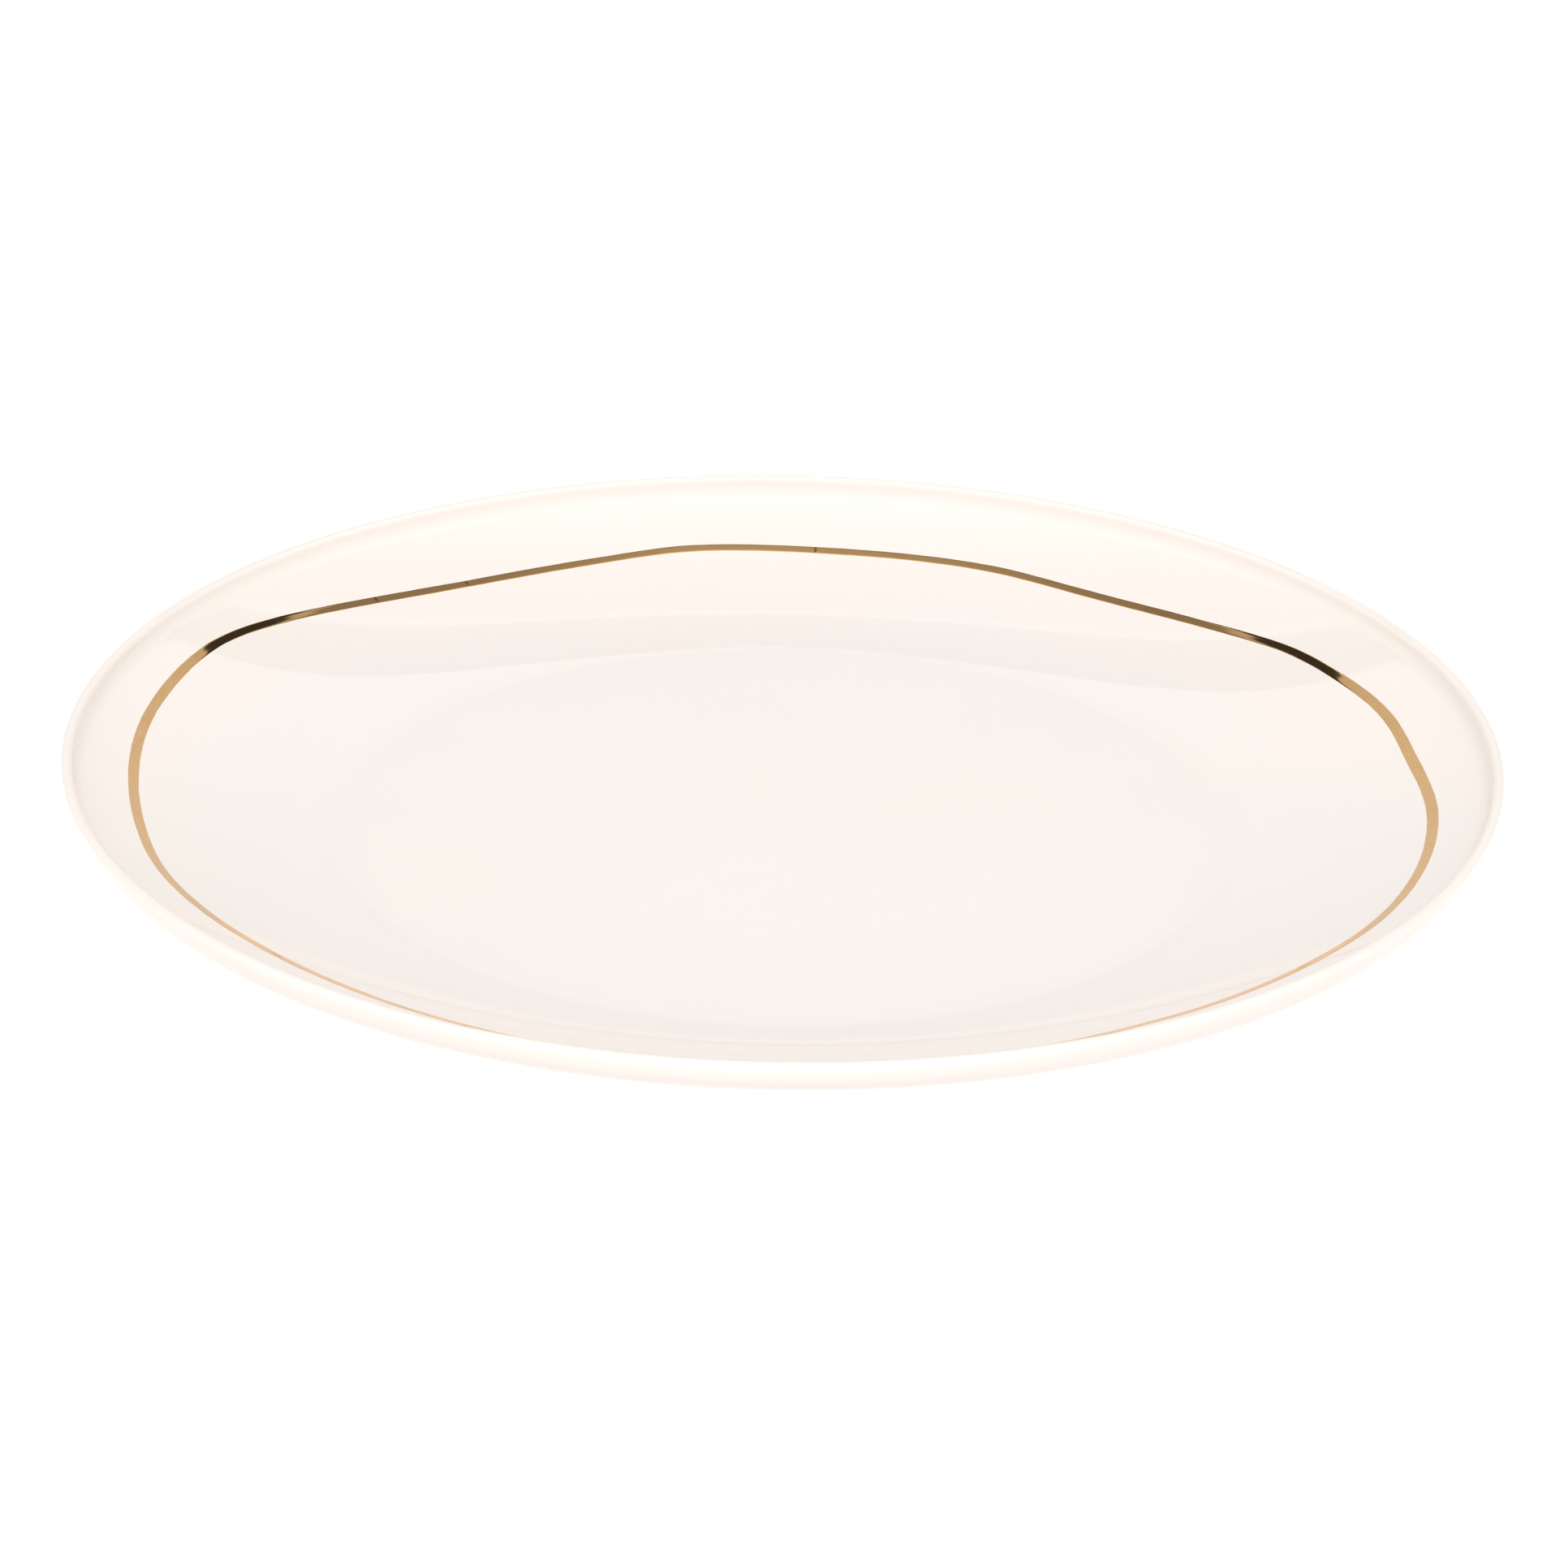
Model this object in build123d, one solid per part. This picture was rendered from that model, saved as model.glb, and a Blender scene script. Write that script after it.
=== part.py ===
from build123d import *
import os
from math import sin, cos, tan, radians, sqrt

# Round china serving platter. Units mm, +Z up.
# Origin: centre of the foot plane, so z = 0 is the table the platter rests on.

# ---------------------------------------------------------------- dimensions
OUTER_R = 165.0          # outside radius over the lip
HEIGHT = 30.0            # foot plane to the top of the lip
DEPTH = 22.5             # top of the lip down to the well floor
LIP_T = 2.8              # lip thickness over the glaze
LIP_STRAIGHT = 0.74      # straight length under the half round of the lip

GLAZE_T = 0.30           # glaze thickness
GOLD_T = 0.10            # thickness given to the fired gold line
LINE_SECTORS = 6         # sectors in which the gold line is cut out of its shell

WELL_BEND_R = 20.0       # radius of the bend from the well floor into the wall
WALL_A0 = 9.0            # wall slope just above the bend, degrees
WALL_A1 = 25.0           # wall slope just below the rim upturn, degrees
UPTURN_R = 4.1           # inside radius of the rim upturn
LIP_A = 84.5             # slope of the upturned lip, degrees

BACK_R = 240.0           # radius of the arc of the back of the wall
BACK_A0 = 12.0           # slope of the back of the wall at the foot, degrees
BACK_A1 = 24.8           # slope of the back of the wall at the rim, degrees
BACK_FLOOR_Z = 3.0       # underside of the floor, inside the foot ring
FOOT_R_OUT = 100.6       # radius of the outer flank of the foot ring, at its base
FOOT_FLANK_A = 12.0      # lean of both flanks away from the vertical, degrees
FOOT_FACE_W = 1.5        # width of the flat dry foot face
FOOT_EDGE_R = 0.7        # rounding of both edges of the foot face
FOOT_FILLET_R = 2.2      # fillet where each flank meets the back (over the glaze)
FOOT_DRY_H = 0.75        # height above the foot plane at which the glaze ends

# Gold line: a hand-guided loop, so it wanders a little in plan.
# Radius of its centre line every 3.75 degrees from +X, counter-clockwise.
LINE_R = [148.19, 147.63, 147.47, 147.89, 148.38, 148.45, 148.18, 147.79,
          147.39, 146.73, 145.41, 144.03, 142.83, 141.94, 141.30, 141.07,
          141.29, 141.88, 142.57, 142.92, 143.03, 143.10, 143.12, 143.27,
          143.54, 143.87, 144.12, 144.00, 143.30, 142.53, 142.08, 141.84,
          141.85, 142.14, 142.83, 143.91, 145.29, 146.93, 148.70, 150.45,
          151.99, 152.81, 152.73, 152.29, 151.79, 151.27, 150.69, 150.04,
          149.40, 148.85, 148.41, 148.13, 148.04, 148.09, 147.92, 147.29,
          146.40, 145.40, 144.17, 143.18, 142.24, 141.38, 140.66, 140.21,
          139.54, 139.31, 139.24, 139.19, 139.19, 139.23, 139.29, 139.35,
          139.40, 139.41, 139.40, 139.39, 139.41, 139.51, 139.68, 139.94,
          140.27, 140.95, 142.35, 143.54, 144.64, 145.78, 146.85, 148.00,
          148.99, 149.48, 149.68, 149.69, 149.61, 149.43, 149.20, 148.81]
# Width of the line every 30 degrees.
LINE_W = [2.65, 2.45, 2.34, 2.28, 2.28, 2.34, 2.44, 2.36, 2.30, 2.30, 2.35, 2.45]


# ------------------------------------------------------- section of the body
def step(p, a, d):
    """Point at distance d from p along heading a (degrees)."""
    return (p[0] + d * cos(radians(a)), p[1] + d * sin(radians(a)))


def left_of(p, a, d):
    """Point at distance d to the left of heading a at p."""
    return (p[0] - d * sin(radians(a)), p[1] + d * cos(radians(a)))


# Working back from the lip over the glaze: lip centre, upturn centre, wall end.
lip_c = (OUTER_R - LIP_T / 2, HEIGHT - LIP_T / 2)
lip_in = left_of(lip_c, LIP_A, LIP_T / 2)
up_end = step(lip_in, LIP_A, -LIP_STRAIGHT)
up_c = left_of(up_end, LIP_A, UPTURN_R)
wall_end = left_of(up_c, WALL_A1, -UPTURN_R)

# The wall arc radius and the well radius follow from the depth.
FLOOR_Z = HEIGHT - DEPTH
bend_rise = WELL_BEND_R * (1 - cos(radians(WALL_A0)))
wall_r = (wall_end[1] - FLOOR_Z - bend_rise) / (cos(radians(WALL_A0)) - cos(radians(WALL_A1)))
well_r = (wall_end[0] - WELL_BEND_R * sin(radians(WALL_A0))
          - wall_r * (sin(radians(WALL_A1)) - sin(radians(WALL_A0))))
bend_c = (well_r, FLOOR_Z + WELL_BEND_R)
wall_c = left_of(wall_end, WALL_A1, wall_r)


def on(c, a, r):
    """Point of the circle (c, r) at which a profile curving upwards has slope a."""
    return (c[0] + r * sin(radians(a)), c[1] - r * cos(radians(a)))


def top_edges(d):
    """Face side, from the axis to the inside of the lip, at distance d below
    the glaze surface (negative d is above it)."""
    p0 = (0.0, FLOOR_Z - d)
    p1 = on(bend_c, 0, WELL_BEND_R + d)
    p2 = on(bend_c, WALL_A0, WELL_BEND_R + d)
    p3 = on(wall_c, WALL_A1, wall_r + d)
    p4 = on(up_c, LIP_A, UPTURN_R + d)
    p5 = step(p4, LIP_A, LIP_STRAIGHT)
    m1 = on(bend_c, WALL_A0 / 2, WELL_BEND_R + d)
    m2 = on(wall_c, (WALL_A0 + WALL_A1) / 2, wall_r + d)
    m3 = on(up_c, (WALL_A1 + LIP_A) / 2, UPTURN_R + d)
    return [("l", p0, p1), ("a", p1, m1, p2), ("a", p2, m2, p3), ("a", p3, m3, p4), ("l", p4, p5)]


def lip_edges(d):
    """Half round of the lip, inside to outside."""
    r = LIP_T / 2 - d
    return [("a", left_of(lip_c, LIP_A, r), step(lip_c, LIP_A, r), left_of(lip_c, LIP_A, -r))]


# Back of the wall: an arc tangent to the outside of the upturn, then a short
# straight down to the foot.
back_top = on(up_c, BACK_A1, UPTURN_R + LIP_T)
back_c = left_of(back_top, BACK_A1, BACK_R)


def fillet_at(corner, dir_in, dir_out, rad):
    """Start, middle and end of the arc of radius rad tangent to both headings at corner."""
    turn = (dir_out - dir_in + 180) % 360 - 180
    t = rad * tan(radians(abs(turn) / 2))
    a = step(corner, dir_in, -t)
    b = step(corner, dir_out, t)
    s = 1 if turn > 0 else -1
    c = left_of(a, dir_in, s * rad)
    mid_dir = dir_in + turn / 2
    m = left_of(c, mid_dir, -s * rad)
    return a, m, b


def cross(p, a, q, b):
    """Crossing of the line through p heading a with the line through q heading b."""
    ax, ay = cos(radians(a)), sin(radians(a))
    bx, by = cos(radians(b)), sin(radians(b))
    k = ((q[0] - p[0]) * by - (q[1] - p[1]) * bx) / (ax * by - ay * bx)
    return (p[0] + k * ax, p[1] + k * ay)


# Headings around the section, walking from the lip to the axis along the back.
H_BACK = 180 + BACK_A0                # down the last of the back of the wall
H_OUT = 270 - FOOT_FLANK_A            # down the outer flank of the foot
H_IN = 90 + FOOT_FLANK_A              # up the inner flank of the foot

foot_out = (FOOT_R_OUT, 0.0)          # outer flank carried down to the foot plane
foot_face_out = (FOOT_R_OUT - FOOT_EDGE_R * tan(radians((90 - FOOT_FLANK_A) / 2)), 0.0)
foot_face_in = (foot_face_out[0] - FOOT_FACE_W, 0.0)
foot_in = (foot_face_in[0] - FOOT_EDGE_R * tan(radians((90 - FOOT_FLANK_A) / 2)), 0.0)


def back_outer_edges(d):
    """Back from the outside of the lip down to the foot's outer flank. d = 0 is the
    glaze surface, d = GLAZE_T is the body. The flank of the body carries on to the
    foot plane, so the flank line is placed from the body and moved out by the glaze."""
    o = GLAZE_T - d
    p6 = left_of(lip_c, LIP_A, -(LIP_T / 2 - d))
    p7 = step(p6, LIP_A, -LIP_STRAIGHT)
    pm = on(up_c, (BACK_A1 + LIP_A) / 2, UPTURN_R + LIP_T - d)
    p8 = on(up_c, BACK_A1, UPTURN_R + LIP_T - d)
    pn = on(back_c, (BACK_A0 + BACK_A1) / 2, BACK_R - d)
    p9 = on(back_c, BACK_A0, BACK_R - d)
    flank_pt = left_of(foot_out, H_OUT, o)
    corner = cross(p9, H_BACK, flank_pt, H_OUT)
    a, m, b = fillet_at(corner, H_BACK, H_OUT, FOOT_FILLET_R + d)
    end = cross(b, H_OUT, (FOOT_R_OUT + FOOT_DRY_H * tan(radians(FOOT_FLANK_A)), FOOT_DRY_H), H_OUT + 90)
    return [("l", p6, p7), ("a", p7, pm, p8), ("a", p8, pn, p9), ("l", p9, a),
            ("a", a, m, b), ("l", b, end)]


def back_inner_edges(d):
    """Inside the foot ring, from the inner flank to the axis."""
    o = GLAZE_T - d
    flank_pt = left_of(foot_in, H_IN, o)
    corner = cross(flank_pt, H_IN, (0.0, BACK_FLOOR_Z + d), 0.0)
    a, m, b = fillet_at(corner, H_IN, 180.0, FOOT_FILLET_R + d)
    start = cross(a, H_IN, (foot_in[0] - FOOT_DRY_H * tan(radians(FOOT_FLANK_A)), FOOT_DRY_H), H_IN + 90)
    return [("l", start, a), ("a", a, m, b), ("l", b, (0.0, BACK_FLOOR_Z + d))]


def edges_of(segs):
    out = []
    for s in segs:
        pts = [(p[0], 0, p[1]) for p in s[1:]]
        if sqrt(sum((u - v) ** 2 for u, v in zip(pts[0], pts[-1]))) < 1e-6:
            continue
        out.append(Edge.make_line(pts[0], pts[1]) if s[0] == "l"
                   else Edge.make_three_point_arc(*pts))
    return out


def backwards(segs):
    return [(s[0],) + tuple(reversed(s[1:])) for s in reversed(segs)]


def join(a, b):
    """Straight edge between the end of chain a and the start of chain b."""
    return [("l", a[-1][-1], b[0][1])]


def closed(segs):
    segs = list(segs)
    segs += [("l", segs[-1][-1], segs[0][1])]
    wire = Wire(edges_of(segs))
    return Face(wire)


def spin(face):
    return revolve(face, axis=Axis.Z, revolution_arc=360)


# ------------------------------------------------------------ porcelain body
top_b = top_edges(GLAZE_T)
lip_b = lip_edges(GLAZE_T)
out_b = back_outer_edges(GLAZE_T)
in_b = back_inner_edges(GLAZE_T)
fa, fm, fb = fillet_at(foot_out, H_OUT, 180.0, FOOT_EDGE_R)
ga, gm, gb = fillet_at(foot_in, 180.0, H_IN, FOOT_EDGE_R)
foot_b = [("l", out_b[-1][-1], fa), ("a", fa, fm, fb), ("l", fb, ga), ("a", ga, gm, gb),
          ("l", gb, in_b[0][1])]
porcelain_body = spin(closed(top_b + lip_b + out_b + foot_b + in_b))

# --------------------------------------------------------------- glaze skins
# Face glaze: well, wall and over the top of the lip.
face_out = top_edges(0) + lip_edges(0)
face_in = top_edges(GLAZE_T) + lip_edges(GLAZE_T)
face_glaze = spin(closed(face_out + join(face_out, backwards(face_in)) + backwards(face_in)))

# Back glaze: outside of the lip down to the dry foot.
bo = back_outer_edges(0)
bi = back_outer_edges(GLAZE_T)
back_glaze = spin(closed(bo + join(bo, backwards(bi)) + backwards(bi)))

# Glaze island inside the foot ring.
io = back_inner_edges(0)
ii = back_inner_edges(GLAZE_T)
foot_well_glaze = spin(closed(io + join(io, backwards(ii)) + backwards(ii)))


# ----------------------------------------------------------------- gold line
def line_width(deg):
    k = (deg / 30.0) % 12
    i = int(k)
    f = (1 - cos(radians(180 * (k - i)))) / 2
    return LINE_W[i] * (1 - f) + LINE_W[(i + 1) % 12] * f


def loop(side):
    """Closed edge of the line in plan: side +1 is its outer edge, -1 its inner edge."""
    pts = []
    for i, r in enumerate(LINE_R):
        deg = i * 360.0 / len(LINE_R)
        q = r + side * line_width(deg) / 2
        pts.append((q * cos(radians(deg)), q * sin(radians(deg)), 0))
    return Edge.make_spline(pts, periodic=True)


# A thin shell of revolution lying on the glaze of the wall carries the line.
shell_lo = ("a", on(wall_c, WALL_A0, wall_r), on(wall_c, (WALL_A0 + WALL_A1) / 2, wall_r),
            on(wall_c, WALL_A1, wall_r))
g = wall_r - GOLD_T
shell_hi = ("a", on(wall_c, WALL_A1, g), on(wall_c, (WALL_A0 + WALL_A1) / 2, g),
            on(wall_c, WALL_A0, g))
shell = spin(closed([shell_lo, ("l", shell_lo[-1], shell_hi[1]), shell_hi]))

# It is cut out in sectors, with the seam of the shell always opposite the
# sector, and the sectors are fused into one ring.
edge_out, edge_in = loop(+1), loop(-1)
gold_line = None
for k in range(LINE_SECTORS):
    a, b = k / LINE_SECTORS, (k + 1) / LINE_SECTORS
    o, n = edge_out.trim(a, b), edge_in.trim(a, b)
    plan = Face(Wire([o, Edge.make_line(o @ 1, n @ 1), n, Edge.make_line(n @ 0, o @ 0)]))
    prism = extrude(plan, amount=HEIGHT - 2, dir=(0, 0, 1))
    sector = shell.rotate(Axis.Z, 180 * (a + b) + 180) & prism
    gold_line = sector if gold_line is None else gold_line + sector

# -------------------------------------------------------------------- export
NODES = {
    "porcelain_body": porcelain_body,
    "face_glaze": face_glaze,
    "back_glaze": back_glaze,
    "foot_well_glaze": foot_well_glaze,
    "gold_line": gold_line,
}

os.makedirs("parts", exist_ok=True)
for name, shape in NODES.items():
    solids = shape.solids()
    bb = shape.bounding_box()
    print(name, "solids", len(solids), "volume %.1f" % shape.volume, "valid", shape.is_valid,
          "z %.3f..%.3f r %.3f" % (bb.min.Z, bb.max.Z, bb.max.X))
    out = solids[0] if len(solids) == 1 else Compound(children=solids)
    export_step(out, "parts/" + name + ".step")
print("well radius %.3f, wall arc radius %.1f" % (well_r, wall_r))
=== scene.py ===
from math import sin, cos, tan, radians, degrees, sqrt, pi, atan2
import bpy
import bmesh
from mathutils import Matrix, Vector


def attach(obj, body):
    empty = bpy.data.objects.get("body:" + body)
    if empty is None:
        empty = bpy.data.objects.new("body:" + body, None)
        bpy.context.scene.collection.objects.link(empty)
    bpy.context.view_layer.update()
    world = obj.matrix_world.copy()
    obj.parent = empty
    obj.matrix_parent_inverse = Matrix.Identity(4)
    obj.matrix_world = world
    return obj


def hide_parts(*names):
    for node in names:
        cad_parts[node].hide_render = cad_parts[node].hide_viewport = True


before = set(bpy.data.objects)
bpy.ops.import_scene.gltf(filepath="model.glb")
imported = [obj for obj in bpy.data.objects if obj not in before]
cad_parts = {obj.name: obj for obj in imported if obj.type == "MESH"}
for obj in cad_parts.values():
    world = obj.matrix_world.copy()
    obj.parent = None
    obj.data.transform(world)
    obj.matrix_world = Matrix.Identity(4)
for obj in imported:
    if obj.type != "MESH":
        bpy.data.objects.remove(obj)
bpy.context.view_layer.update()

scene = bpy.context.scene
MM = 0.001

# --------------------------------------------------------------- dimensions
# The same section as the CAD, in millimetres, turned with many more steps.
OUTER_R, HEIGHT, DEPTH = 165.0, 30.0, 22.5
LIP_T, LIP_STRAIGHT = 2.8, 0.74
GLAZE_T, GOLD_T = 0.30, 0.10
WELL_BEND_R, WALL_A0, WALL_A1 = 20.0, 9.0, 25.0
UPTURN_R, LIP_A = 4.1, 84.5
BACK_R, BACK_A0, BACK_A1, BACK_FLOOR_Z = 240.0, 12.0, 24.8, 3.0
FOOT_R_OUT, FOOT_FLANK_A, FOOT_FACE_W = 100.6, 12.0, 1.5
FOOT_EDGE_R, FOOT_FILLET_R, FOOT_DRY_H = 0.7, 2.2, 0.75

LINE_R = [148.19, 147.63, 147.47, 147.89, 148.38, 148.45, 148.18, 147.79,
          147.39, 146.73, 145.41, 144.03, 142.83, 141.94, 141.30, 141.07,
          141.29, 141.88, 142.57, 142.92, 143.03, 143.10, 143.12, 143.27,
          143.54, 143.87, 144.12, 144.00, 143.30, 142.53, 142.08, 141.84,
          141.85, 142.14, 142.83, 143.91, 145.29, 146.93, 148.70, 150.45,
          151.99, 152.81, 152.73, 152.29, 151.79, 151.27, 150.69, 150.04,
          149.40, 148.85, 148.41, 148.13, 148.04, 148.09, 147.92, 147.29,
          146.40, 145.40, 144.17, 143.18, 142.24, 141.38, 140.66, 140.21,
          139.54, 139.31, 139.24, 139.19, 139.19, 139.23, 139.29, 139.35,
          139.40, 139.41, 139.40, 139.39, 139.41, 139.51, 139.68, 139.94,
          140.27, 140.95, 142.35, 143.54, 144.64, 145.78, 146.85, 148.00,
          148.99, 149.48, 149.68, 149.69, 149.61, 149.43, 149.20, 148.81]
LINE_W = [2.65, 2.45, 2.34, 2.28, 2.28, 2.34, 2.44, 2.36, 2.30, 2.30, 2.35, 2.45]
SEGS = 384


# ------------------------------------------------------------------ section
def step(p, a, d):
    return (p[0] + d * cos(radians(a)), p[1] + d * sin(radians(a)))


def left_of(p, a, d):
    return (p[0] - d * sin(radians(a)), p[1] + d * cos(radians(a)))


def on(c, a, r):
    return (c[0] + r * sin(radians(a)), c[1] - r * cos(radians(a)))


lip_c = (OUTER_R - LIP_T / 2, HEIGHT - LIP_T / 2)
lip_in = left_of(lip_c, LIP_A, LIP_T / 2)
up_end = step(lip_in, LIP_A, -LIP_STRAIGHT)
up_c = left_of(up_end, LIP_A, UPTURN_R)
wall_end = left_of(up_c, WALL_A1, -UPTURN_R)
FLOOR_Z = HEIGHT - DEPTH
bend_rise = WELL_BEND_R * (1 - cos(radians(WALL_A0)))
wall_r = (wall_end[1] - FLOOR_Z - bend_rise) / (cos(radians(WALL_A0)) - cos(radians(WALL_A1)))
well_r = (wall_end[0] - WELL_BEND_R * sin(radians(WALL_A0))
          - wall_r * (sin(radians(WALL_A1)) - sin(radians(WALL_A0))))
bend_c = (well_r, FLOOR_Z + WELL_BEND_R)
wall_c = left_of(wall_end, WALL_A1, wall_r)
back_top = on(up_c, BACK_A1, UPTURN_R + LIP_T)
back_c = left_of(back_top, BACK_A1, BACK_R)

H_BACK = 180 + BACK_A0
H_OUT = 270 - FOOT_FLANK_A
H_IN = 90 + FOOT_FLANK_A
edge_run = FOOT_EDGE_R * tan(radians((90 - FOOT_FLANK_A) / 2))
foot_out = (FOOT_R_OUT, 0.0)
foot_in = (FOOT_R_OUT - 2 * edge_run - FOOT_FACE_W, 0.0)


def cross(p, a, q, b):
    ax, ay = cos(radians(a)), sin(radians(a))
    bx, by = cos(radians(b)), sin(radians(b))
    k = ((q[0] - p[0]) * by - (q[1] - p[1]) * bx) / (ax * by - ay * bx)
    return (p[0] + k * ax, p[1] + k * ay)


def arc(c, r, a0, a1, n):
    """Points of a profile arc that curves upwards, between slopes a0 and a1."""
    return [on(c, a0 + (a1 - a0) * i / n, r) for i in range(n + 1)]


def fillet(corner, h_in, h_out, rad, n):
    turn = (h_out - h_in + 180) % 360 - 180
    t = rad * tan(radians(abs(turn) / 2))
    a = step(corner, h_in, -t)
    s = 1 if turn > 0 else -1
    c = left_of(a, h_in, s * rad)
    return [left_of(c, h_in + turn * i / n, -s * rad) for i in range(n + 1)]


def line(p, q, n):
    return [(p[0] + (q[0] - p[0]) * i / n, p[1] + (q[1] - p[1]) * i / n) for i in range(n + 1)]


def chain(*runs):
    """Joins runs of points, dropping doubled ends."""
    out = []
    for run in runs:
        for p in run:
            if not out or abs(p[0] - out[-1][0]) + abs(p[1] - out[-1][1]) > 1e-5:
                out.append(p)
    return out


def top_run(d):
    p1 = on(bend_c, 0, WELL_BEND_R + d)
    up = arc(up_c, UPTURN_R + d, WALL_A1, LIP_A, 14)
    return chain(line((0.0, FLOOR_Z - d), p1, 26), arc(bend_c, WELL_BEND_R + d, 0, WALL_A0, 10),
                 arc(wall_c, wall_r + d, WALL_A0, WALL_A1, 48), up, line(up[-1], step(up[-1], LIP_A, LIP_STRAIGHT), 2))


def lip_run(d, n=18):
    r = LIP_T / 2 - d
    return [left_of(lip_c, LIP_A - 180 * i / n, r) for i in range(n + 1)]


def back_run(d):
    o = GLAZE_T - d
    p6 = left_of(lip_c, LIP_A, -(LIP_T / 2 - d))
    p7 = step(p6, LIP_A, -LIP_STRAIGHT)
    up = list(reversed(arc(up_c, UPTURN_R + LIP_T - d, BACK_A1, LIP_A, 14)))
    bk = list(reversed(arc(back_c, BACK_R - d, BACK_A0, BACK_A1, 44)))
    corner = cross(bk[-1], H_BACK, left_of(foot_out, H_OUT, o), H_OUT)
    f = fillet(corner, H_BACK, H_OUT, FOOT_FILLET_R + d, 10)
    end = cross(f[-1], H_OUT, (FOOT_R_OUT + FOOT_DRY_H * tan(radians(FOOT_FLANK_A)), FOOT_DRY_H), H_OUT + 90)
    return chain(line(p6, p7, 2), up, bk, line(bk[-1], f[0], 3), f, line(f[-1], end, 2))


def foot_well_run(d):
    o = GLAZE_T - d
    corner = cross(left_of(foot_in, H_IN, o), H_IN, (0.0, BACK_FLOOR_Z + d), 0.0)
    f = fillet(corner, H_IN, 180.0, FOOT_FILLET_R + d, 10)
    start = cross(f[0], H_IN, (foot_in[0] - FOOT_DRY_H * tan(radians(FOOT_FLANK_A)), FOOT_DRY_H), H_IN + 90)
    return chain(line(start, f[0], 2), f, line(f[-1], (0.0, BACK_FLOOR_Z + d), 30))


def foot_run():
    a = fillet(foot_out, H_OUT, 180.0, FOOT_EDGE_R, 8)
    b = fillet(foot_in, 180.0, H_IN, FOOT_EDGE_R, 8)
    return chain(a, line(a[-1], b[0], 2), b)


def bead(p, q, n=6):
    """Rounded end of a glaze skin: a half round from p to q, bulging to the left of p to q."""
    mx, mz = (p[0] + q[0]) / 2, (p[1] + q[1]) / 2
    r = sqrt((p[0] - q[0]) ** 2 + (p[1] - q[1]) ** 2) / 2
    a0 = atan2(p[1] - mz, p[0] - mx)
    return [(mx + r * cos(a0 - pi * i / n), mz + r * sin(a0 - pi * i / n)) for i in range(n + 1)]


# ------------------------------------------------------------------- meshes
def turned(name, pts, closed=True, segs=SEGS):
    """Solid of revolution about Z from section points (radius, height) in mm.
    A point on the axis becomes a pole."""
    bm = bmesh.new()
    rings = []
    for (r, z) in pts:
        if r < 1e-6:
            rings.append([bm.verts.new((0, 0, z * MM))])
        else:
            rings.append([bm.verts.new((r * MM * cos(2 * pi * i / segs), r * MM * sin(2 * pi * i / segs), z * MM))
                          for i in range(segs)])
    pairs = list(zip(rings[:-1], rings[1:]))
    if closed:
        pairs.append((rings[-1], rings[0]))
    for a, b in pairs:
        if len(a) == 1 and len(b) == 1:
            continue
        for i in range(segs):
            j = (i + 1) % segs
            if len(a) == 1:
                bm.faces.new((a[0], b[i], b[j]))
            elif len(b) == 1:
                bm.faces.new((a[j], a[i], b[0]))
            else:
                bm.faces.new((a[j], a[i], b[i], b[j]))
    bmesh.ops.recalc_face_normals(bm, faces=bm.faces)
    me = bpy.data.meshes.new(name)
    bm.to_mesh(me)
    bm.free()
    for p in me.polygons:
        p.use_smooth = True
    ob = bpy.data.objects.new(name, me)
    scene.collection.objects.link(ob)
    return ob


def sharp_by_angle(ob, deg):
    bm = bmesh.new()
    bm.from_mesh(ob.data)
    for e in bm.edges:
        if len(e.link_faces) == 2 and e.calc_face_angle(0) > radians(deg):
            e.smooth = False
    bm.to_mesh(ob.data)
    bm.free()


# Face glaze, over the top of the lip, with its hidden underside on the body.
face = turned("glaze_over_face", chain(top_run(0), lip_run(0)) + list(reversed(chain(top_run(GLAZE_T), lip_run(GLAZE_T)))))
# Back glaze, ending in a rounded bead above the dry foot.
bo, bi = back_run(0), back_run(GLAZE_T)
back = turned("glaze_over_back", bo[:-1] + bead(bo[-1], bi[-1])[1:-1] + list(reversed(bi[:-1])))
wo, wi = foot_well_run(0), foot_well_run(GLAZE_T)
foot_well = turned("glaze_in_foot_ring", wo[1:] + list(reversed(wi[1:])) + bead(wi[0], wo[0])[1:-1])
# Porcelain body: only its dry foot is seen.
body = turned("porcelain_clay_body", chain(top_run(GLAZE_T), lip_run(GLAZE_T), back_run(GLAZE_T), foot_run(), foot_well_run(GLAZE_T)))
for ob in (face, back, foot_well, body):
    sharp_by_angle(ob, 35)


# ---------------------------------------------------------------- gold line
def periodic_cubic(vals, t):
    """Catmull-Rom through evenly spaced values; t in 0..1 round the loop."""
    n = len(vals)
    x = (t % 1.0) * n
    i = int(x) % n
    f = x - int(x)
    a, b, c, d = vals[i - 1], vals[i], vals[(i + 1) % n], vals[(i + 2) % n]
    return b + 0.5 * f * (c - a + f * (2 * a - 5 * b + 4 * c - d + f * (3 * (b - c) + d - a)))


def line_w(t):
    k = (t * 12) % 12
    i = int(k)
    f = (1 - cos(pi * (k - i))) / 2
    return LINE_W[i] * (1 - f) + LINE_W[(i + 1) % 12] * f


def waver(t, seed, terms=((23, .35), (41, .3), (67, .25), (113, .2), (190, .15))):
    """Small repeatable wander of a hand-guided brush, about -1 to 1."""
    s = 0.0
    for k, amp in terms:
        s += amp * sin(2 * pi * (k * t + ((seed * 0.618 + k * 0.377) % 1.0)))
    return s


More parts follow.
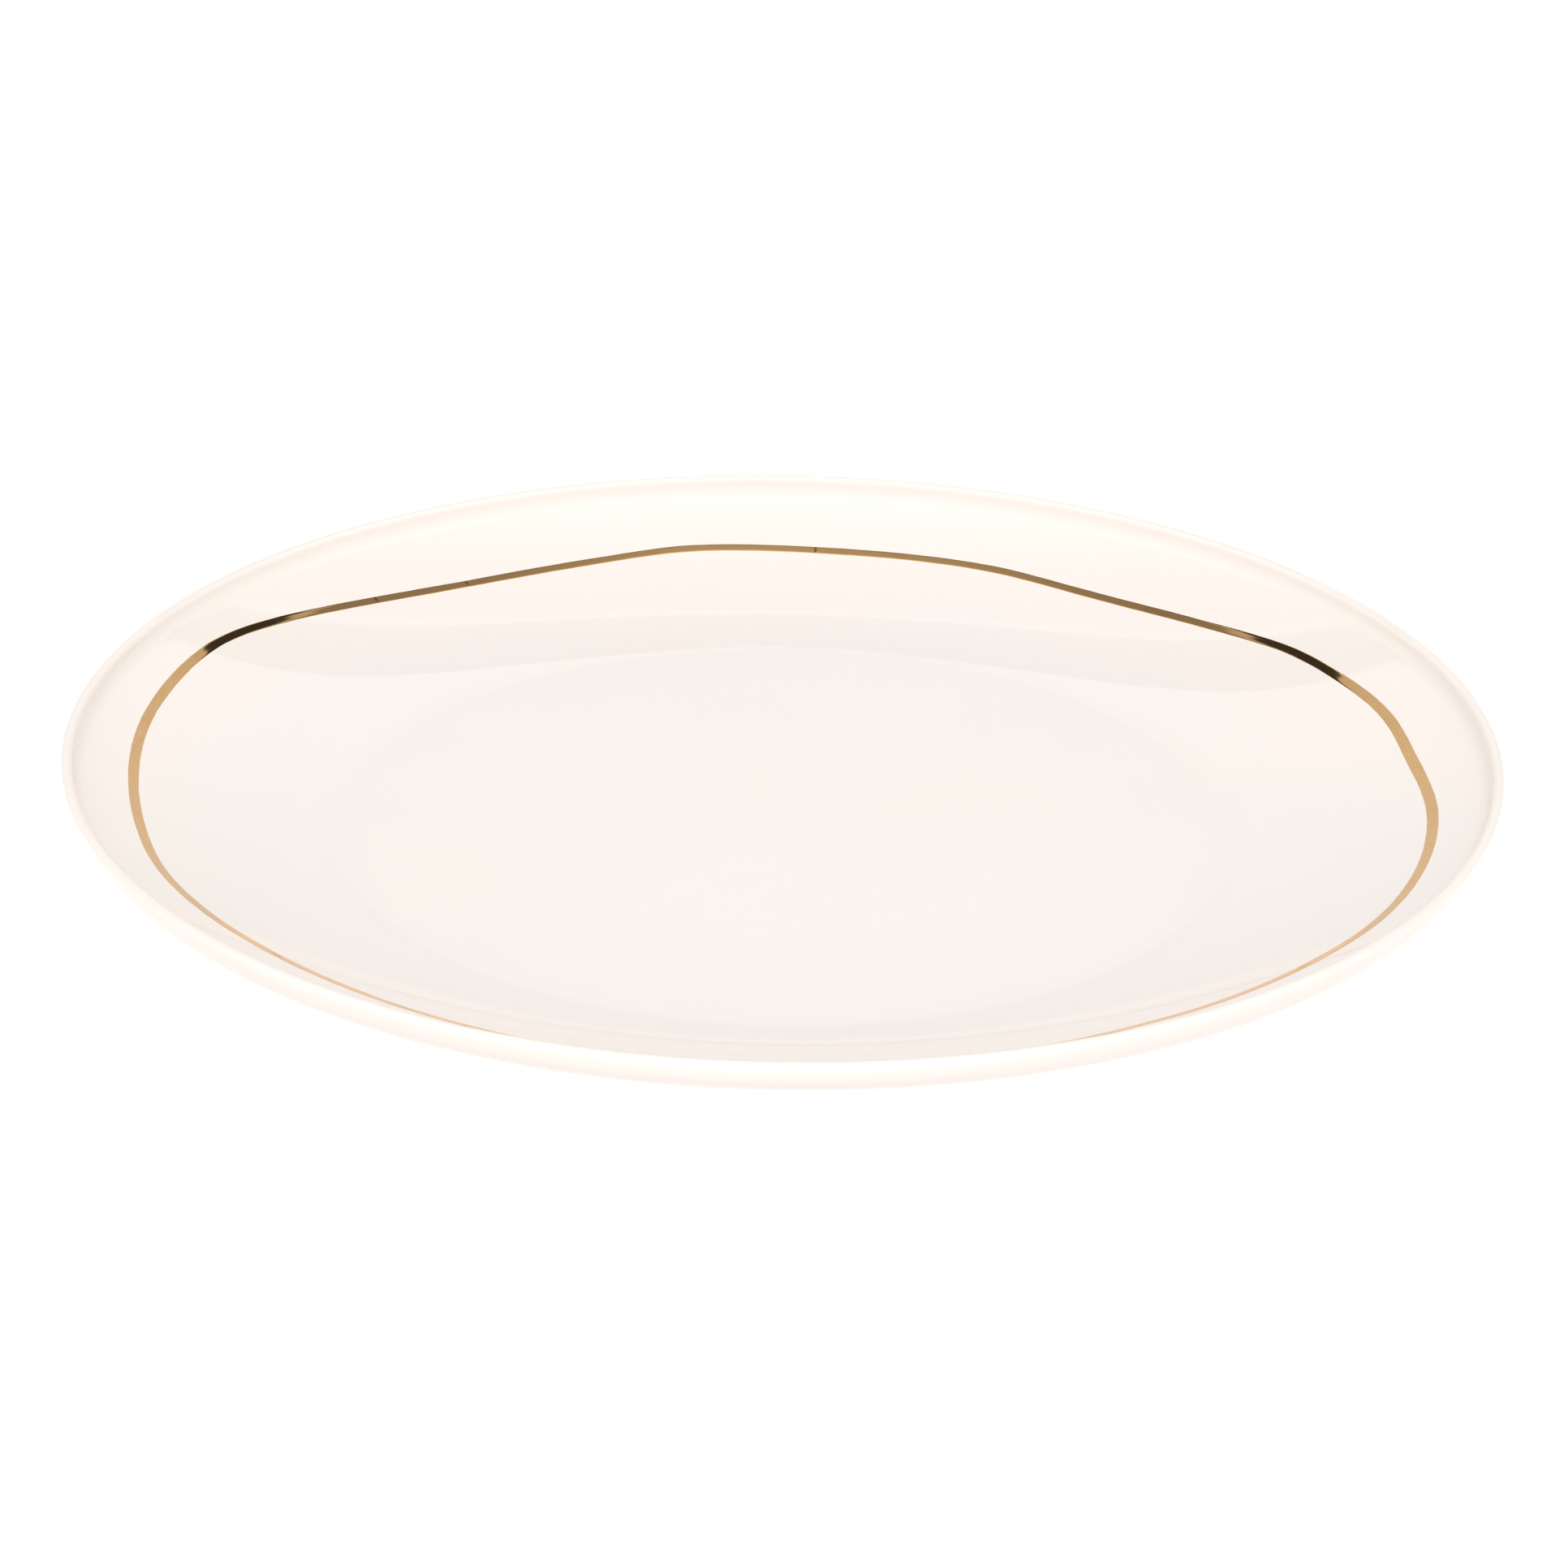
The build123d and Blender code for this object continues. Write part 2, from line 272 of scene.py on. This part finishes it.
def wall_point(r, lift):
    """Point of the wall at radius r, lifted off the glaze along its normal."""
    a = degrees(0)
    dx = (r - wall_c[0]) / wall_r
    z = wall_c[1] - wall_r * sqrt(1 - dx * dx)
    # unit normal towards the arc's centre
    nx, nz = -dx, sqrt(1 - dx * dx)
    return (r + nx * lift, z + nz * lift)


def gold_ring():
    N = 1536
    # rows across the width: (fraction from the inner to the outer edge, lift share)
    rows = [(0.0, 0.0), (0.012, 0.55), (0.045, 0.86), (0.12, 0.97), (0.3, 1.0), (0.5, 1.0),
            (0.7, 1.0), (0.88, 0.97), (0.955, 0.86), (0.988, 0.55), (1.0, 0.0)]
    top = 0.045
    bm = bmesh.new()
    uv = bm.loops.layers.uv.new("run")
    grid = []
    for i in range(N):
        t = i / N
        th = 2 * pi * t
        r = periodic_cubic(LINE_R, t)
        w = line_w(t)
        ri = r - w / 2 + 0.045 * waver(t, 1)
        ro = r + w / 2 + 0.045 * waver(t, 2)
        ring = []
        for u, h in rows:
            q, z = wall_point(ri + (ro - ri) * u, -0.01 + (top + 0.01) * h)
            ring.append(bm.verts.new((q * MM * cos(th), q * MM * sin(th), z * MM)))
        grid.append(ring)
    m = len(rows)
    for i in range(N):
        a, b = grid[i], grid[(i + 1) % N]
        for j in range(m - 1):
            f = bm.faces.new((a[j], b[j], b[j + 1], a[j + 1]))
            us = [(i, j), (i + 1, j), (i + 1, j + 1), (i, j + 1)]
            for lp, (ii, jj) in zip(f.loops, us):
                lp[uv].uv = (ii / N, rows[jj][0])
        # closed underneath, out of sight inside the glaze
        f = bm.faces.new((a[m - 1], b[m - 1], b[0], a[0]))
        for lp, (ii, v) in zip(f.loops, [(i, 1), (i + 1, 1), (i + 1, 0), (i, 0)]):
            lp[uv].uv = (ii / N, v)
    bmesh.ops.recalc_face_normals(bm, faces=bm.faces)
    me = bpy.data.meshes.new("gold_line_on_wall")
    bm.to_mesh(me)
    bm.free()
    for p in me.polygons:
        p.use_smooth = True
    ob = bpy.data.objects.new("gold_line_on_wall", me)
    scene.collection.objects.link(ob)
    return ob


gold = gold_ring()


# ---------------------------------------------------------------- materials
class Nodes:
    """Short hand for building a material's nodes."""

    def __init__(self, name):
        self.mat = bpy.data.materials.new(name)
        self.mat.use_nodes = True
        self.t = self.mat.node_tree
        self.b = self.t.nodes["Principled BSDF"]
        self.obj = self.t.nodes.new("ShaderNodeTexCoord")

    def new(self, kind, **props):
        n = self.t.nodes.new(kind)
        for k, v in props.items():
            setattr(n, k, v)
        return n

    def link(self, a, b):
        self.t.links.new(a, b)

    def noise(self, scale, detail=3.0, rough=0.5, coord=None, dist=0.0):
        n = self.new("ShaderNodeTexNoise")
        n.inputs["Scale"].default_value = scale
        n.inputs["Detail"].default_value = detail
        n.inputs["Roughness"].default_value = rough
        n.inputs["Distortion"].default_value = dist
        self.link(coord or self.obj.outputs["Object"], n.inputs["Vector"])
        return n.outputs["Fac"]

    def ramp(self, fac, stops, interp="LINEAR"):
        n = self.new("ShaderNodeValToRGB")
        n.color_ramp.interpolation = interp
        el = n.color_ramp.elements
        el[0].position, el[0].color = stops[0][0], tuple(stops[0][1]) + (1,)
        el[1].position, el[1].color = stops[-1][0], tuple(stops[-1][1]) + (1,)
        for pos, col in stops[1:-1]:
            e = el.new(pos)
            e.color = tuple(col) + (1,)
        self.link(fac, n.inputs["Fac"])
        return n.outputs["Color"]

    def remap(self, fac, lo, hi, a, b):
        n = self.new("ShaderNodeMapRange")
        n.inputs["From Min"].default_value = lo
        n.inputs["From Max"].default_value = hi
        n.inputs["To Min"].default_value = a
        n.inputs["To Max"].default_value = b
        self.link(fac, n.inputs["Value"])
        return n.outputs["Result"]

    def math(self, op, a, b=None):
        n = self.new("ShaderNodeMath", operation=op)
        for i, v in enumerate((a, b)):
            if v is None:
                continue
            if isinstance(v, (int, float)):
                n.inputs[i].default_value = v
            else:
                self.link(v, n.inputs[i])
        return n.outputs[0]

    def mix(self, fac, a, b, kind="MIX"):
        n = self.new("ShaderNodeMix", data_type="RGBA", blend_type=kind)
        for i, v in ((0, fac), (6, a), (7, b)):
            if isinstance(v, (int, float)):
                n.inputs[i].default_value = v
            elif isinstance(v, tuple):
                n.inputs[i].default_value = v + (1,)
            else:
                self.link(v, n.inputs[i])
        return n.outputs[2]

    def bump(self, height, strength, distance, after=None):
        n = self.new("ShaderNodeBump")
        if isinstance(strength, (int, float)):
            n.inputs["Strength"].default_value = strength
        else:
            self.link(strength, n.inputs["Strength"])
        n.inputs["Distance"].default_value = distance
        self.link(height, n.inputs["Height"])
        if after is not None:
            self.link(after, n.inputs["Normal"])
        return n.outputs["Normal"]

    def radius(self):
        """Distance from the platter's axis, in metres."""
        s = self.new("ShaderNodeSeparateXYZ")
        self.link(self.obj.outputs["Object"], s.inputs[0])
        x2 = self.math("MULTIPLY", s.outputs[0], s.outputs[0])
        y2 = self.math("MULTIPLY", s.outputs[1], s.outputs[1])
        return self.math("SQRT", self.math("ADD", x2, y2)), s


def glaze_material(name, base, warm, cool, wave, rings=False):
    k = Nodes(name)
    b = k.b
    # slow drift of tint where the glaze is thicker or thinner
    drift = k.noise(9.0, 2.0, 0.5)
    tint = k.ramp(drift, [(0.30, warm), (0.5, base), (0.72, cool)])
    # faint mottling of the fired glass
    mott = k.noise(160.0, 4.0, 0.6)
    tint = k.mix(k.remap(mott, 0.35, 0.65, 0.0, 0.05), tint, tuple(c * 0.93 for c in base))
    # a few tiny iron specks under the glaze
    v = k.new("ShaderNodeTexVoronoi", feature="F1", distance="EUCLIDEAN")
    v.inputs["Scale"].default_value = 26.0
    v.inputs["Randomness"].default_value = 1.0
    k.link(k.obj.outputs["Object"], v.inputs["Vector"])
    dot = k.remap(v.outputs["Distance"], 0.0055, 0.0095, 1.0, 0.0)
    some = k.new("ShaderNodeSeparateColor")
    k.link(v.outputs["Color"], some.inputs[0])
    pick = k.math("GREATER_THAN", some.outputs[0], 0.90)
    spot = k.math("MULTIPLY", k.math("MULTIPLY", dot, pick), 0.45)
    tint = k.mix(spot, tint, (0.30, 0.22, 0.15))
    r, sep = k.radius()
    # painted shade: a slightly darker ring painted in the bend round the well, where shade falls in the crease; the
    # glaze thins on the lip
    painted_bend_shade = k.math("SUBTRACT", 1.0, k.math("ABSOLUTE", k.remap(r, 0.098, 0.110, -1.0, 1.0)))
    painted_bend_shade = k.math("MAXIMUM", painted_bend_shade, 0.0)
    tint = k.mix(k.math("MULTIPLY", painted_bend_shade, 0.10), tint, (0.80, 0.76, 0.70))
    # warmer towards the lip, where the glaze lies thinner over the clay
    tint = k.mix(k.remap(r, 0.112, 0.158, 0.0, 0.45), tint, (0.905, 0.824, 0.755))
    k.link(tint, b.inputs["Base Color"])
    rough = k.remap(k.noise(55.0, 5.0, 0.65), 0.3, 0.7, 0.012, 0.034)
    k.link(rough, b.inputs["Roughness"])
    b.inputs["IOR"].default_value = 1.52
    # the slow waviness of poured glass, and very fine orange peel
    # surface tension draws it smooth over the lip
    h = k.noise(14.0, 2.0, 0.45)
    n1 = k.bump(h, k.remap(r, 0.152, 0.160, 0.12, 0.02), wave)
    h2 = k.noise(230.0, 2.0, 0.5)
    n2 = k.bump(h2, k.remap(r, 0.152, 0.160, 0.05, 0.01), 0.00004, n1)
    if rings:
        # faint turning rings of the profile tool, softened by the glaze
        saw = k.new("ShaderNodeTexNoise", noise_dimensions="1D")
        saw.inputs["Scale"].default_value = 420.0
        saw.inputs["Detail"].default_value = 2.0
        k.link(r, saw.inputs["W"])
        n2 = k.bump(saw.outputs["Fac"], k.remap(r, 0.150, 0.158, 0.16, 0.0), 0.00018, n2)
    k.link(n2, b.inputs["Normal"])
    return k.mat


FACE_MAT = glaze_material("porcelain_face_glaze", (0.883, 0.823, 0.782), (0.891, 0.825, 0.773), (0.876, 0.823, 0.790), 0.0007)
BACK_MAT = glaze_material("porcelain_back_glaze", (0.872, 0.816, 0.772), (0.880, 0.818, 0.764), (0.865, 0.816, 0.781), 0.0009, rings=True)


def bisque_material():
    k = Nodes("dry_porcelain_foot")
    b = k.b
    grain = k.noise(1900.0, 4.0, 0.7)
    soft = k.noise(60.0, 3.0, 0.55)
    col = k.ramp(soft, [(0.3, (0.80, 0.75, 0.67)), (0.55, (0.86, 0.82, 0.75)), (0.75, (0.83, 0.79, 0.72))])
    col = k.mix(k.remap(grain, 0.35, 0.7, 0.0, 0.22), col, (0.62, 0.57, 0.50))
    # grey scuffing where the foot stands on shelves
    s = k.new("ShaderNodeSeparateXYZ")
    k.link(k.obj.outputs["Object"], s.inputs[0])
    low = k.remap(s.outputs[2], 0.0, 0.0004, 1.0, 0.0)
    scuff = k.math("MULTIPLY", low, k.remap(k.noise(320.0, 5.0, 0.7), 0.5, 0.72, 0.0, 0.6))
    col = k.mix(scuff, col, (0.42, 0.40, 0.38))
    k.link(col, b.inputs["Base Color"])
    k.link(k.remap(grain, 0.3, 0.7, 0.62, 0.82), b.inputs["Roughness"])
    n = k.bump(grain, 0.5, 0.00006)
    k.link(n, b.inputs["Normal"])
    b.inputs["IOR"].default_value = 1.5
    return k.mat


def gold_material():
    k = Nodes("fired_bright_gold")
    b = k.b
    uvn = k.obj.outputs["UV"]
    # brush streaks run along the line: long in U, fine in V
    m = k.new("ShaderNodeMapping")
    m.inputs["Scale"].default_value = (160.0, 9.0, 1.0)
    k.link(uvn, m.inputs["Vector"])
    streak = k.noise(1.0, 4.0, 0.6, coord=m.outputs[0])
    thin = k.noise(90.0, 3.0, 0.6)
    col = k.ramp(streak, [(0.30, (0.745, 0.445, 0.190)), (0.5, (0.785, 0.478, 0.213)), (0.72, (0.815, 0.51, 0.236))])
    # thinner places let a little brown through
    col = k.mix(k.remap(thin, 0.56, 0.74, 0.0, 0.35), col, (0.60, 0.36, 0.14))
    # three small dark spots painted on the far side of the line
    uvs = k.new("ShaderNodeSeparateXYZ")
    k.link(uvn, uvs.inputs[0])
    dark_spot = None
    for deg, v0, half_u, half_v in ((134.2, 0.62, 0.00042, 0.42), (124.0, 0.60, 0.00036, 0.36), (87.1, 0.55, 0.00040, 0.5)):
        du = k.math("DIVIDE", k.math("SUBTRACT", uvs.outputs[0], deg / 360), half_u)
        dv = k.math("DIVIDE", k.math("SUBTRACT", uvs.outputs[1], v0), half_v)
        d2 = k.math("ADD", k.math("MULTIPLY", du, du), k.math("MULTIPLY", dv, dv))
        one = k.remap(d2, 0.5, 1.3, 0.72, 0.0)
        dark_spot = one if dark_spot is None else k.math("MAXIMUM", dark_spot, one)
    col = k.mix(dark_spot, col, (0.16, 0.10, 0.05))
    k.link(col, b.inputs["Base Color"])
    b.inputs["Metallic"].default_value = 1.0
    k.link(k.remap(streak, 0.3, 0.7, 0.02, 0.055), b.inputs["Roughness"])
    n = k.bump(streak, 0.04, 0.00002)
    h = k.noise(14.0, 2.0, 0.45)
    n = k.bump(h, 0.10, 0.0004, n)
    k.link(n, b.inputs["Normal"])
    return k.mat


def put(ob, mat, node):
    ob.data.materials.clear()
    ob.data.materials.append(mat)
    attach(ob, "root")
    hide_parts(node)


BISQUE = bisque_material()
GOLD = gold_material()
put(face, FACE_MAT, "face_glaze")
put(back, BACK_MAT, "back_glaze")
put(foot_well, BACK_MAT, "foot_well_glaze")
put(body, BISQUE, "porcelain_body")
put(gold, GOLD, "gold_line")


# -------------------------------------------------------------------- floor
def flat_piece(name, sx, sy, at, cuts=1):
    bm = bmesh.new()
    bmesh.ops.create_grid(bm, x_segments=cuts, y_segments=cuts, size=1.0)
    for v in bm.verts:
        v.co = Vector((v.co.x * sx / 2, v.co.y * sy / 2, 0))
    me = bpy.data.meshes.new(name)
    bm.to_mesh(me)
    bm.free()
    ob = bpy.data.objects.new(name, me)
    ob.location = at
    scene.collection.objects.link(ob)
    return ob


floor = flat_piece("studio_floor", 14.0, 14.0, (0, 0, 0))
fm = bpy.data.materials.new("pale_floor")
fm.use_nodes = True
fb = fm.node_tree.nodes["Principled BSDF"]
fb.inputs["Base Color"].default_value = (0.90, 0.90, 0.895, 1)
fb.inputs["Roughness"].default_value = 0.9
fb.inputs["Specular IOR Level"].default_value = 0.1
fb.inputs["Emission Color"].default_value = (1.0, 1.0, 0.995, 1)
fb.inputs["Emission Strength"].default_value = 0.60
# The sheet is one-sided, so the foot and back can be looked at from below.
ft = fm.node_tree
geo = ft.nodes.new("ShaderNodeNewGeometry")
clear = ft.nodes.new("ShaderNodeBsdfTransparent")
pick = ft.nodes.new("ShaderNodeMixShader")
ft.links.new(geo.outputs["Backfacing"], pick.inputs[0])
ft.links.new(fb.outputs[0], pick.inputs[1])
ft.links.new(clear.outputs[0], pick.inputs[2])
ft.links.new(pick.outputs[0], ft.nodes["Material Output"].inputs["Surface"])
floor.data.materials.append(fm)
floor.visible_diffuse = False
floor.visible_shadow = False


# ------------------------------------------------------------------- lights
def area(name, corner_mid, along, sx, sy, radiance, colour=(1, 1, 1), face=(0, 0, 0), stops=None, mirrored=True):
    """Rectangular light. corner_mid is the middle of its lower edge, along the unit
    direction up its face, sx its width along X, sy its length, radiance in scene units."""
    d = bpy.data.lights.new(name, "AREA")
    d.shape = "RECTANGLE"
    d.size, d.size_y = sx, sy
    d.energy = radiance * sx * sy * pi
    d.color = colour
    o = bpy.data.objects.new(name, d)
    y = Vector(along).normalized()
    loc = Vector(corner_mid) + y * (sy / 2)
    z = Vector((1, 0, 0)).cross(y)
    if z.dot(Vector(face) - loc) > 0:
        z = -z
    x = y.cross(z)
    o.matrix_world = Matrix.Translation(loc) @ Matrix((x, y, z)).transposed().to_4x4()
    scene.collection.objects.link(o)
    o.visible_camera = False
    o.visible_glossy = mirrored
    if stops:
        # brightness along the length of the light's cloth
        d.use_nodes = True
        t = d.node_tree
        g = t.nodes.new("ShaderNodeNewGeometry")
        s = t.nodes.new("ShaderNodeSeparateXYZ")
        r = t.nodes.new("ShaderNodeValToRGB")
        el = r.color_ramp.elements
        el[0].position, el[0].color = stops[0][0], (stops[0][1],) * 3 + (1,)
        el[1].position, el[1].color = stops[-1][0], (stops[-1][1],) * 3 + (1,)
        for pos, val in stops[1:-1]:
            e = el.new(pos)
            e.color = (val,) * 3 + (1,)
        t.links.new(g.outputs["Parametric"], s.inputs[0])
        t.links.new(s.outputs[1], r.inputs["Fac"])
        t.links.new(r.outputs["Color"], t.nodes["Emission"].inputs["Strength"])
    return o


# Soft all-round light, with a dim stretch high up behind the platter, between backdrop and softbox.
world = bpy.data.worlds.new("studio")
world.use_nodes = True
wt = world.node_tree
bg = wt.nodes["Background"]
bg.inputs[0].default_value = (1.0, 0.995, 0.985, 1)
wc = wt.nodes.new("ShaderNodeTexCoord")
ws = wt.nodes.new("ShaderNodeSeparateXYZ")
wt.links.new(wc.outputs["Generated"], ws.inputs[0])
shares = []
for axis, lo, hi in ((1, 0.12, 0.58), (2, 0.42, 0.56)):
    wm = wt.nodes.new("ShaderNodeMapRange")
    wm.interpolation_type = "SMOOTHSTEP"
    wm.inputs["From Min"].default_value = lo
    wm.inputs["From Max"].default_value = hi
    wm.inputs["To Min"].default_value = 0.0
    wm.inputs["To Max"].default_value = 1.0
    wt.links.new(ws.outputs[axis], wm.inputs["Value"])
    shares.append(wm.outputs["Result"])
wx = wt.nodes.new("ShaderNodeMath")
wx.operation = "MULTIPLY"
wt.links.new(shares[0], wx.inputs[0])
wt.links.new(shares[1], wx.inputs[1])
wf = wt.nodes.new("ShaderNodeMapRange")
wf.name = "world_level"
wf.inputs["To Min"].default_value = 1.0
wf.inputs["To Max"].default_value = 0.05
wt.links.new(wx.outputs[0], wf.inputs["Value"])
# a little less comes back up from below the horizon
wl = wt.nodes.new("ShaderNodeMapRange")
wl.inputs["From Min"].default_value = -0.25
wl.inputs["From Max"].default_value = 0.0
wl.inputs["To Min"].default_value = 0.84
wl.inputs["To Max"].default_value = 1.0
wt.links.new(ws.outputs[2], wl.inputs["Value"])
wy = wt.nodes.new("ShaderNodeMath")
wy.operation = "MULTIPLY"
wt.links.new(wf.outputs["Result"], wy.inputs[0])
wt.links.new(wl.outputs["Result"], wy.inputs[1])
# plain and even where the room itself is seen
wp = wt.nodes.new("ShaderNodeLightPath")
wq = wt.nodes.new("ShaderNodeMix")
wq.data_type = "FLOAT"
wq.inputs[3].default_value = 1.0
wt.links.new(wp.outputs["Is Camera Ray"], wq.inputs[0])
wt.links.new(wy.outputs[0], wq.inputs[2])
wt.links.new(wq.outputs[0], bg.inputs[1])
scene.world = world

# White lit backdrop behind the platter, a little dimmer towards its top edge.
backdrop = flat_piece("studio_backdrop", 9.0, 2.24, (0, 2.75, 1.12))
backdrop.rotation_euler = (radians(90), 0, 0)
bm_ = bpy.data.materials.new("backdrop_cloth")
bm_.use_nodes = True
bt = bm_.node_tree
bt.nodes.remove(bt.nodes["Principled BSDF"])
em = bt.nodes.new("ShaderNodeEmission")
bc = bt.nodes.new("ShaderNodeTexCoord")
bs = bt.nodes.new("ShaderNodeSeparateXYZ")
br = bt.nodes.new("ShaderNodeValToRGB")
el = br.color_ramp.elements
el[0].position, el[0].color = 0.0, (0.87, 0.87, 0.87, 1)
el[1].position, el[1].color = 1.0, (0.70, 0.70, 0.70, 1)
for pos, val in ((0.6, 0.855), (0.82, 0.81)):
    e = el.new(pos)
    e.color = (val, val, val, 1)
bt.links.new(bc.outputs["Generated"], bs.inputs[0])
bt.links.new(bs.outputs[1], br.inputs["Fac"])
bt.links.new(br.outputs["Color"], em.inputs["Color"])
bt.links.new(em.outputs[0], bt.nodes["Material Output"].inputs["Surface"])
backdrop.data.materials.append(bm_)
backdrop.visible_camera = False
# Softbox above and behind, leaning over the platter, with a straight lower edge.
area("softbox", (0, 0.72, 0.69), (0, -0.866, 0.5), 1.6, 0.9, 0.455,
     stops=[(0.0, 1.25), (0.018, 1.25), (0.022, 0.55), (0.25, 0.78), (0.6, 1.0), (1.0, 1.0)])
# Broad light from the camera's side.
area("front_fill", (0, -1.05, 0.62), (0, 0.72, 0.69), 1.4, 0.7, 0.95, mirrored=False)
area("front_low", (0, -1.40, 0.22), (0, 0.36, 0.93), 1.6, 0.6, 1.15, mirrored=False)

# ------------------------------------------------------------------- camera
# Round platter seen from 24.5 degrees above the table at eight times its radius.
E, ROLL, DIST = radians(24.484), radians(-1.0), 8.0 * OUTER_R * MM
TARGET = Vector((0.0021 * OUTER_R * MM, 0.0, (HEIGHT - 0.0740 * OUTER_R) * MM))
back_dir = Vector((0, -cos(E), sin(E)))
right0 = Vector((1, 0, 0))
up0 = right0.cross(-back_dir)
right = right0 * cos(ROLL) - up0 * sin(ROLL)
up = right0 * sin(ROLL) + up0 * cos(ROLL)
cam = bpy.data.objects.new("camera", bpy.data.cameras.new("camera"))
cam.data.sensor_width = 36.0
cam.data.lens = 7054.6 / 1932 * 36.0
cam.data.clip_start, cam.data.clip_end = 0.05, 50
rot = Matrix((right, up, back_dir)).transposed()
cam.matrix_world = Matrix.Translation(TARGET + back_dir * DIST) @ rot.to_4x4()
scene.collection.objects.link(cam)
scene.camera = cam

# enough bounces for light that runs round inside the upturned lip
scene.cycles.max_bounces = 16
scene.cycles.glossy_bounces = 12
scene.cycles.diffuse_bounces = 6
scene.view_settings.view_transform = "Standard"
scene.view_settings.look = "None"
